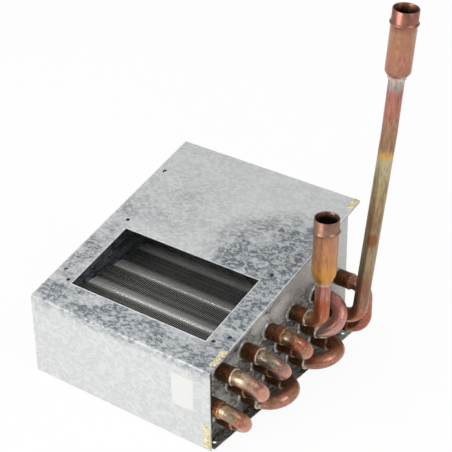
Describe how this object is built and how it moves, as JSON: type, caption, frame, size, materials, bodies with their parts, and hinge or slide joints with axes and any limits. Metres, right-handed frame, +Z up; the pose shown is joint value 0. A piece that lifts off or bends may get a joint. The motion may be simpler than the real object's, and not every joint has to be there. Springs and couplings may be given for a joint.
{
  "type": "finned coil heat exchanger",
  "caption": "Wedge-shaped folded sheet-metal case round a finned tube coil, with return bends and two brazed connection pipes at its right end and an air window in the sloping top.",
  "frame": {"origin": "underside of the front flange, at the middle of the case's width", "axes": "+X to the right along the front, towards the connection pipes; +Y to the back; +Z up"},
  "size_m": [0.3082, 0.2462, 0.3837],
  "materials": {
    "galvanised_steel": "galvanised, fine dull spangle",
    "fin_aluminium": "plain sheet",
    "tube_copper": "copper, heat-tinted by brazing",
    "pipe_copper": "copper, heat-tinted by brazing",
    "sealant_foam": "cream, matt"
  },
  "bodies": {
    "root": {"cover": "galvanised_steel", "back_wall": "galvanised_steel", "left_end_plate": "galvanised_steel", "right_end_plate": "galvanised_steel", "fin_pack": "fin_aluminium", "hairpin_1": "tube_copper", "hairpin_2": "tube_copper", "hairpin_3": "tube_copper", "hairpin_4": "tube_copper", "hairpin_5": "tube_copper", "hairpin_6": "tube_copper", "hairpin_7": "tube_copper", "hairpin_8": "tube_copper", "hairpin_9": "tube_copper", "return_bend_1": "tube_copper", "return_bend_2": "tube_copper", "return_bend_3": "tube_copper", "return_bend_4": "tube_copper", "return_bend_5": "tube_copper", "return_bend_6": "tube_copper", "return_bend_7": "tube_copper", "return_bend_8": "tube_copper", "short_pipe": "pipe_copper", "short_pipe_socket": "pipe_copper", "long_pipe": "pipe_copper", "long_pipe_socket": "pipe_copper", "front_top_sealant": "sealant_foam", "back_top_sealant": "sealant_foam", "front_foot_sealant": "sealant_foam"}
  },
  "joints": []
}
